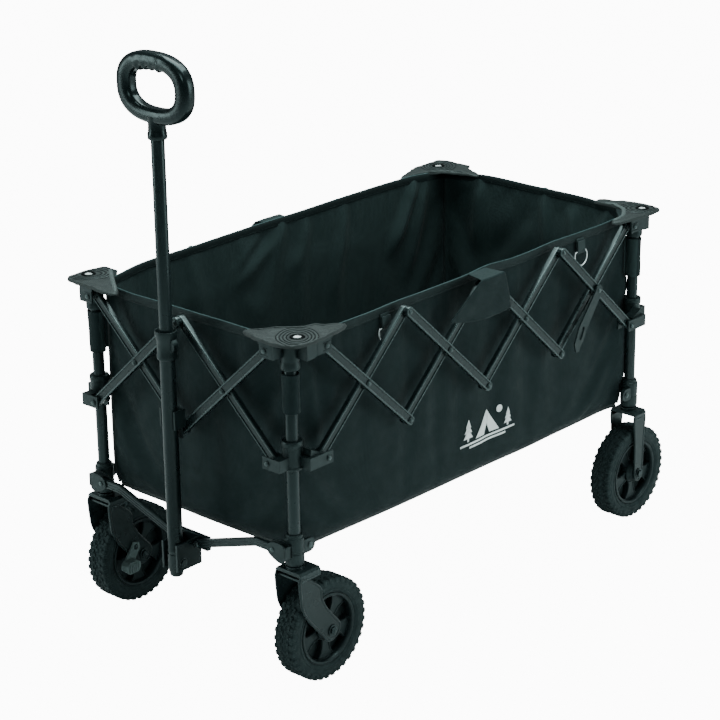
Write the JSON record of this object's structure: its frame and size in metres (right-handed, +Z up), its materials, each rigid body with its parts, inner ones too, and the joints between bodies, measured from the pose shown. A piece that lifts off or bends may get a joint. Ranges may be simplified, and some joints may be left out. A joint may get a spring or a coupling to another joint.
{
  "type": "folding camp wagon",
  "caption": "Folding camp wagon: scissor-bar frame with a fabric basket, swivelling front wheels, fixed rear wheels and a telescopic pull handle with a loop grip.",
  "frame": {"origin": "on the ground, in the middle of the length and width of the opened wagon", "axes": "+X forwards to the pull handle, +Y to the left side, +Z up"},
  "size_m": [1.0668, 0.526, 1.035],
  "materials": {
    "frame_paint": "satin powder coat",
    "moulded_plastic": "fine moulded texture",
    "basket_fabric": "coated plain weave",
    "binding_fabric": "sewn binding tape",
    "webbing": "woven webbing",
    "print": "screen print",
    "tyre_rubber": "moulded tread",
    "rim_plastic": "fine moulded texture",
    "zinc_steel": "zinc plated",
    "black_steel": "black oxide",
    "pedal_plastic": "moulded",
    "grip_plastic": "soft moulded texture"
  },
  "bodies": {
    "front_left_corner": {"front_left_post": "frame_paint", "front_left_top_connector": "moulded_plastic", "basket_walls": "basket_fabric"},
    "front_right_corner": {"front_right_post": "frame_paint", "front_right_top_connector": "moulded_plastic"},
    "rear_left_corner": {"rear_left_post": "frame_paint", "rear_left_top_connector": "moulded_plastic", "rear_left_fork": "frame_paint"},
    "rear_right_corner": {"rear_right_post": "frame_paint", "rear_right_top_connector": "moulded_plastic", "rear_right_fork": "frame_paint"},
    "front_left_slider": {"front_left_slider": "moulded_plastic"},
    "front_right_slider": {"front_right_slider": "moulded_plastic"},
    "rear_left_slider": {"rear_left_slider": "moulded_plastic"},
    "rear_right_slider": {"rear_right_slider": "moulded_plastic"},
    "left_outer_bar_1": {"left_outer_bar_1": "frame_paint"},
    "left_inner_bar_1": {"left_inner_bar_1": "frame_paint"},
    "left_outer_bar_2": {"left_outer_bar_2": "frame_paint"},
    "left_inner_bar_2": {"left_inner_bar_2": "frame_paint"},
    "left_outer_bar_3": {"left_outer_bar_3": "frame_paint"},
    "left_inner_bar_3": {"left_inner_bar_3": "frame_paint"},
    "left_outer_bar_4": {"left_outer_bar_4": "frame_paint"},
    "left_inner_bar_4": {"left_inner_bar_4": "frame_paint"},
    "right_outer_bar_1": {"right_outer_bar_1": "frame_paint"},
    "right_inner_bar_1": {"right_inner_bar_1": "frame_paint"},
    "right_outer_bar_2": {"right_outer_bar_2": "frame_paint"},
    "right_inner_bar_2": {"right_inner_bar_2": "frame_paint"},
    "right_outer_bar_3": {"right_outer_bar_3": "frame_paint"},
    "right_inner_bar_3": {"right_inner_bar_3": "frame_paint"},
    "right_outer_bar_4": {"right_outer_bar_4": "frame_paint"},
    "right_inner_bar_4": {"right_inner_bar_4": "frame_paint"},
    "front_outer_bar_1": {"front_outer_bar_1": "frame_paint"},
    "front_inner_bar_1": {"front_inner_bar_1": "frame_paint"},
    "front_outer_bar_2": {"front_outer_bar_2": "frame_paint"},
    "front_inner_bar_2": {"front_inner_bar_2": "frame_paint"},
    "rear_outer_bar_1": {"rear_outer_bar_1": "frame_paint"},
    "rear_inner_bar_1": {"rear_inner_bar_1": "frame_paint"},
    "rear_outer_bar_2": {"rear_outer_bar_2": "frame_paint"},
    "rear_inner_bar_2": {"rear_inner_bar_2": "frame_paint"},
    "frame_latch": {"frame_latch": "moulded_plastic"},
    "handle_clip": {"handle_clip": "moulded_plastic"},
    "handle_link_left": {"handle_link_left": "frame_paint"},
    "handle_link_right": {"handle_link_right": "frame_paint"},
    "handle_base_bracket": {"handle_base_bracket": "frame_paint"},
    "handle_outer_tube": {"handle_outer_tube": "frame_paint"},
    "handle_telescope": {"handle_inner_tube": "frame_paint", "handle_grip": "grip_plastic"},
    "front_left_caster": {"front_left_fork": "frame_paint", "front_left_axle": "zinc_steel"},
    "front_left_wheel": {"front_left_wheel": "tyre_rubber"},
    "rear_left_wheel": {"rear_left_wheel": "tyre_rubber"},
    "front_left_brake_pedal": {"front_left_brake_pedal": "pedal_plastic"},
    "basket_floor_left": {"basket_floor_left": "basket_fabric"},
    "front_right_caster": {"front_right_fork": "frame_paint", "front_right_axle": "zinc_steel"},
    "front_right_wheel": {"front_right_wheel": "tyre_rubber"},
    "rear_right_wheel": {"rear_right_wheel": "tyre_rubber"},
    "front_right_brake_pedal": {"front_right_brake_pedal": "pedal_plastic"},
    "basket_floor_right": {"basket_floor_right": "basket_fabric"}
  },
  "joints": [
    {"name": "fold", "type": "hinge", "parent": "front_left_corner", "child": "left_outer_bar_1", "pos_m": [0.41925, 0.253, 0.59], "axis": [0, -1, 0], "range_deg": [0, 38], "deforming": ["basket_walls", "basket_floor_left", "basket_floor_right"]},
    {"name": "left_inner_bar_1_pivot", "type": "hinge", "parent": "left_outer_bar_1", "child": "left_inner_bar_1", "pos_m": [0.31725, 0.243, 0.4955], "axis": [0, -1, 0], "range_deg": [-76.05, 0]},
    {"name": "left_inner_bar_2_pivot", "type": "hinge", "parent": "left_outer_bar_1", "child": "left_inner_bar_2", "pos_m": [0.21525, 0.243, 0.401], "axis": [0, -1, 0], "range_deg": [-76.05, 0]},
    {"name": "left_outer_bar_2_pivot", "type": "hinge", "parent": "left_inner_bar_2", "child": "left_outer_bar_2", "pos_m": [0.11325, 0.253, 0.4955], "axis": [0, -1, 0], "range_deg": [0, 76.05]},
    {"name": "left_outer_bar_3_pivot", "type": "hinge", "parent": "left_inner_bar_2", "child": "left_outer_bar_3", "pos_m": [0.01125, 0.253, 0.59], "axis": [0, -1, 0], "range_deg": [0, 76.05]},
    {"name": "left_inner_bar_3_pivot", "type": "hinge", "parent": "left_outer_bar_3", "child": "left_inner_bar_3", "pos_m": [-0.09075, 0.243, 0.4955], "axis": [0, -1, 0], "range_deg": [-76.05, 0]},
    {"name": "left_inner_bar_4_pivot", "type": "hinge", "parent": "left_outer_bar_3", "child": "left_inner_bar_4", "pos_m": [-0.19275, 0.243, 0.401], "axis": [0, -1, 0], "range_deg": [-76.05, 0]},
    {"name": "left_outer_bar_4_pivot", "type": "hinge", "parent": "left_inner_bar_4", "child": "left_outer_bar_4", "pos_m": [-0.29475, 0.253, 0.4955], "axis": [0, -1, 0], "range_deg": [0, 76.05]},
    {"name": "rear_left_corner_pivot", "type": "hinge", "parent": "left_inner_bar_4", "child": "rear_left_corner", "pos_m": [-0.39675, 0.243, 0.59], "axis": [0, -1, 0], "range_deg": [0, 38.05]},
    {"name": "front_left_slider_pivot", "type": "hinge", "parent": "left_inner_bar_1", "child": "front_left_slider", "pos_m": [0.41925, 0.243, 0.401], "axis": [0, -1, 0], "range_deg": [0, 38.05]},
    {"name": "rear_left_slider_pivot", "type": "hinge", "parent": "left_outer_bar_4", "child": "rear_left_slider", "pos_m": [-0.39675, 0.253, 0.401], "axis": [0, -1, 0], "range_deg": [-38.05, 0]},
    {"name": "latch_pivot", "type": "hinge", "parent": "left_inner_bar_4", "child": "frame_latch", "pos_m": [-0.29475, 0.2594, 0.4955], "axis": [0, 1, 0], "range_deg": [0, 50]},
    {"name": "front_outer_bar_1_pivot", "type": "hinge", "parent": "front_left_corner", "child": "front_outer_bar_1", "pos_m": [0.49325, 0.204, 0.59], "axis": [1, 0, 0], "range_deg": [0, 38.05]},
    {"name": "front_inner_bar_1_pivot", "type": "hinge", "parent": "front_outer_bar_1", "child": "front_inner_bar_1", "pos_m": [0.48325, 0.102, 0.4955], "axis": [1, 0, 0], "range_deg": [-76.05, 0]},
    {"name": "front_inner_bar_2_pivot", "type": "hinge", "parent": "front_outer_bar_1", "child": "front_inner_bar_2", "pos_m": [0.48325, 0, 0.401], "axis": [1, 0, 0], "range_deg": [-76.05, 0]},
    {"name": "front_outer_bar_2_pivot", "type": "hinge", "parent": "front_inner_bar_2", "child": "front_outer_bar_2", "pos_m": [0.49325, -0.102, 0.4955], "axis": [1, 0, 0], "range_deg": [0, 76.05]},
    {"name": "front_right_corner_pivot", "type": "hinge", "parent": "front_inner_bar_2", "child": "front_right_corner", "pos_m": [0.48325, -0.204, 0.59], "axis": [1, 0, 0], "range_deg": [0, 38.05]},
    {"name": "front_right_slider_pivot", "type": "hinge", "parent": "front_outer_bar_2", "child": "front_right_slider", "pos_m": [0.49325, -0.204, 0.401], "axis": [1, 0, 0], "range_deg": [-38.05, 0]},
    {"name": "handle_clip_pivot", "type": "hinge", "parent": "front_outer_bar_1", "child": "handle_clip", "pos_m": [0.49325, 0, 0.401], "axis": [1, 0, 0], "range_deg": [-38.05, 0]},
    {"name": "right_outer_bar_1_pivot", "type": "hinge", "parent": "front_right_corner", "child": "right_outer_bar_1", "pos_m": [0.41925, -0.253, 0.59], "axis": [0, -1, 0], "range_deg": [0, 38.05]},
    {"name": "right_inner_bar_1_pivot", "type": "hinge", "parent": "right_outer_bar_1", "child": "right_inner_bar_1", "pos_m": [0.31725, -0.243, 0.4955], "axis": [0, -1, 0], "range_deg": [-76.05, 0]},
    {"name": "right_inner_bar_2_pivot", "type": "hinge", "parent": "right_outer_bar_1", "child": "right_inner_bar_2", "pos_m": [0.21525, -0.243, 0.401], "axis": [0, -1, 0], "range_deg": [-76.05, 0]},
    {"name": "right_outer_bar_2_pivot", "type": "hinge", "parent": "right_inner_bar_2", "child": "right_outer_bar_2", "pos_m": [0.11325, -0.253, 0.4955], "axis": [0, -1, 0], "range_deg": [0, 76.05]},
    {"name": "right_outer_bar_3_pivot", "type": "hinge", "parent": "right_inner_bar_2", "child": "right_outer_bar_3", "pos_m": [0.01125, -0.253, 0.59], "axis": [0, -1, 0], "range_deg": [0, 76.05]},
    {"name": "right_inner_bar_3_pivot", "type": "hinge", "parent": "right_outer_bar_3", "child": "right_inner_bar_3", "pos_m": [-0.09075, -0.243, 0.4955], "axis": [0, -1, 0], "range_deg": [-76.05, 0]},
    {"name": "right_inner_bar_4_pivot", "type": "hinge", "parent": "right_outer_bar_3", "child": "right_inner_bar_4", "pos_m": [-0.19275, -0.243, 0.401], "axis": [0, -1, 0], "range_deg": [-76.05, 0]},
    {"name": "right_outer_bar_4_pivot", "type": "hinge", "parent": "right_inner_bar_4", "child": "right_outer_bar_4", "pos_m": [-0.29475, -0.253, 0.4955], "axis": [0, -1, 0], "range_deg": [0, 76.05]},
    {"name": "rear_right_corner_pivot", "type": "hinge", "parent": "right_inner_bar_4", "child": "rear_right_corner", "pos_m": [-0.39675, -0.243, 0.59], "axis": [0, -1, 0], "range_deg": [0, 38.05]},
    {"name": "rear_right_slider_pivot", "type": "hinge", "parent": "right_outer_bar_4", "child": "rear_right_slider", "pos_m": [-0.39675, -0.253, 0.401], "axis": [0, -1, 0], "range_deg": [-38.05, 0]},
    {"name": "rear_outer_bar_1_pivot", "type": "hinge", "parent": "rear_left_corner", "child": "rear_outer_bar_1", "pos_m": [-0.47075, 0.204, 0.59], "axis": [1, 0, 0], "range_deg": [0, 38.05]},
    {"name": "rear_inner_bar_1_pivot", "type": "hinge", "parent": "rear_outer_bar_1", "child": "rear_inner_bar_1", "pos_m": [-0.46075, 0.102, 0.4955], "axis": [1, 0, 0], "range_deg": [-76.05, 0]},
    {"name": "rear_inner_bar_2_pivot", "type": "hinge", "parent": "rear_outer_bar_1", "child": "rear_inner_bar_2", "pos_m": [-0.46075, 0, 0.401], "axis": [1, 0, 0], "range_deg": [-76.05, 0]},
    {"name": "rear_outer_bar_2_pivot", "type": "hinge", "parent": "rear_inner_bar_2", "child": "rear_outer_bar_2", "pos_m": [-0.47075, -0.102, 0.4955], "axis": [1, 0, 0], "range_deg": [0, 76.05]},
    {"name": "handle_base_drop", "type": "slide", "parent": "handle_clip", "child": "handle_base_bracket", "axis": [0, 0, -1], "range_m": [0, 0.05225]},
    {"name": "handle_link_left_pivot", "type": "hinge", "parent": "handle_base_bracket", "child": "handle_link_left", "pos_m": [0.48825, 0.026, 0.205], "axis": [1, 0, 0], "range_deg": [0, 70.11]},
    {"name": "handle_link_right_pivot", "type": "hinge", "parent": "handle_base_bracket", "child": "handle_link_right", "pos_m": [0.48825, -0.026, 0.205], "axis": [1, 0, 0], "range_deg": [-70.11, 0]},
    {"name": "handle_tilt", "type": "hinge", "parent": "handle_base_bracket", "child": "handle_outer_tube", "pos_m": [0.51625, 0, 0.177], "axis": [0, 1, 0], "range_deg": [0, 85]},
    {"name": "handle_extend", "type": "slide", "parent": "handle_outer_tube", "child": "handle_telescope", "axis": [0, 0, 1], "range_m": [-0.3, 0]},
    {"name": "front_left_swivel", "type": "hinge", "parent": "front_left_corner", "child": "front_left_caster", "pos_m": [0.46625, 0.226, 0.215], "axis": [0, 0, 1], "continuous": true},
    {"name": "front_left_wheel_spin", "type": "hinge", "parent": "front_left_caster", "child": "front_left_wheel", "pos_m": [0.41025, 0.226, 0.09], "axis": [0, 1, 0], "continuous": true},
    {"name": "rear_left_wheel_spin", "type": "hinge", "parent": "rear_left_corner", "child": "rear_left_wheel", "pos_m": [-0.44375, 0.226, 0.09], "axis": [0, 1, 0], "continuous": true},
    {"name": "front_left_brake_press", "type": "hinge", "parent": "front_left_caster", "child": "front_left_brake_pedal", "pos_m": [0.43225, 0.195, 0.112], "axis": [0, 1, 0], "range_deg": [0, 18]},
    {"name": "front_right_swivel", "type": "hinge", "parent": "front_right_corner", "child": "front_right_caster", "pos_m": [0.46625, -0.226, 0.215], "axis": [0, 0, 1], "continuous": true},
    {"name": "front_right_wheel_spin", "type": "hinge", "parent": "front_right_caster", "child": "front_right_wheel", "pos_m": [0.41025, -0.226, 0.09], "axis": [0, 1, 0], "continuous": true},
    {"name": "rear_right_wheel_spin", "type": "hinge", "parent": "rear_right_corner", "child": "rear_right_wheel", "pos_m": [-0.44375, -0.226, 0.09], "axis": [0, 1, 0], "continuous": true},
    {"name": "front_right_brake_press", "type": "hinge", "parent": "front_right_caster", "child": "front_right_brake_pedal", "pos_m": [0.43225, -0.195, 0.112], "axis": [0, 1, 0], "range_deg": [0, 18]},
    {"name": "floor_left_fold", "type": "hinge", "parent": "front_left_corner", "child": "basket_floor_left", "pos_m": [0.01125, 0.208, 0.23], "axis": [-1, 0, 0], "range_deg": [0, 86.05]},
    {"name": "floor_right_fold", "type": "hinge", "parent": "front_right_corner", "child": "basket_floor_right", "pos_m": [0.01125, -0.208, 0.23], "axis": [1, 0, 0], "range_deg": [0, 86.05]}
  ],
  "couplings": [
    {"joint": "left_inner_bar_1_pivot", "follows": "fold", "ratio": -2},
    {"joint": "left_inner_bar_2_pivot", "follows": "fold", "ratio": -2},
    {"joint": "left_outer_bar_2_pivot", "follows": "fold", "ratio": 2},
    {"joint": "left_outer_bar_3_pivot", "follows": "fold", "ratio": 2},
    {"joint": "left_inner_bar_3_pivot", "follows": "fold", "ratio": -2},
    {"joint": "left_inner_bar_4_pivot", "follows": "fold", "ratio": -2},
    {"joint": "left_outer_bar_4_pivot", "follows": "fold", "ratio": 2},
    {"joint": "rear_left_corner_pivot", "follows": "fold", "ratio": 1},
    {"joint": "front_left_slider_pivot", "follows": "fold", "ratio": 1},
    {"joint": "rear_left_slider_pivot", "follows": "fold", "ratio": -1},
    {"joint": "front_outer_bar_1_pivot", "follows": "fold", "ratio": 1},
    {"joint": "front_inner_bar_1_pivot", "follows": "fold", "ratio": -2},
    {"joint": "front_inner_bar_2_pivot", "follows": "fold", "ratio": -2},
    {"joint": "front_outer_bar_2_pivot", "follows": "fold", "ratio": 2},
    {"joint": "front_right_corner_pivot", "follows": "fold", "ratio": 1},
    {"joint": "front_right_slider_pivot", "follows": "fold", "ratio": -1},
    {"joint": "handle_clip_pivot", "follows": "fold", "ratio": -1},
    {"joint": "right_outer_bar_1_pivot", "follows": "fold", "ratio": 1},
    {"joint": "right_inner_bar_1_pivot", "follows": "fold", "ratio": -2},
    {"joint": "right_inner_bar_2_pivot", "follows": "fold", "ratio": -2},
    {"joint": "right_outer_bar_2_pivot", "follows": "fold", "ratio": 2},
    {"joint": "right_outer_bar_3_pivot", "follows": "fold", "ratio": 2},
    {"joint": "right_inner_bar_3_pivot", "follows": "fold", "ratio": -2},
    {"joint": "right_inner_bar_4_pivot", "follows": "fold", "ratio": -2},
    {"joint": "right_outer_bar_4_pivot", "follows": "fold", "ratio": 2},
    {"joint": "rear_right_corner_pivot", "follows": "fold", "ratio": 1},
    {"joint": "rear_right_slider_pivot", "follows": "fold", "ratio": -1},
    {"joint": "rear_outer_bar_1_pivot", "follows": "fold", "ratio": 1},
    {"joint": "rear_inner_bar_1_pivot", "follows": "fold", "ratio": -2},
    {"joint": "rear_inner_bar_2_pivot", "follows": "fold", "ratio": -2},
    {"joint": "rear_outer_bar_2_pivot", "follows": "fold", "ratio": 2},
    {"joint": "handle_base_drop", "follows": "fold", "m_per_rad": 0.078627},
    {"joint": "handle_link_left_pivot", "follows": "fold", "ratio": 1.8438},
    {"joint": "handle_link_right_pivot", "follows": "fold", "ratio": -1.8438},
    {"joint": "floor_left_fold", "follows": "fold", "ratio": 2.2632},
    {"joint": "floor_right_fold", "follows": "fold", "ratio": 2.2632}
  ]
}
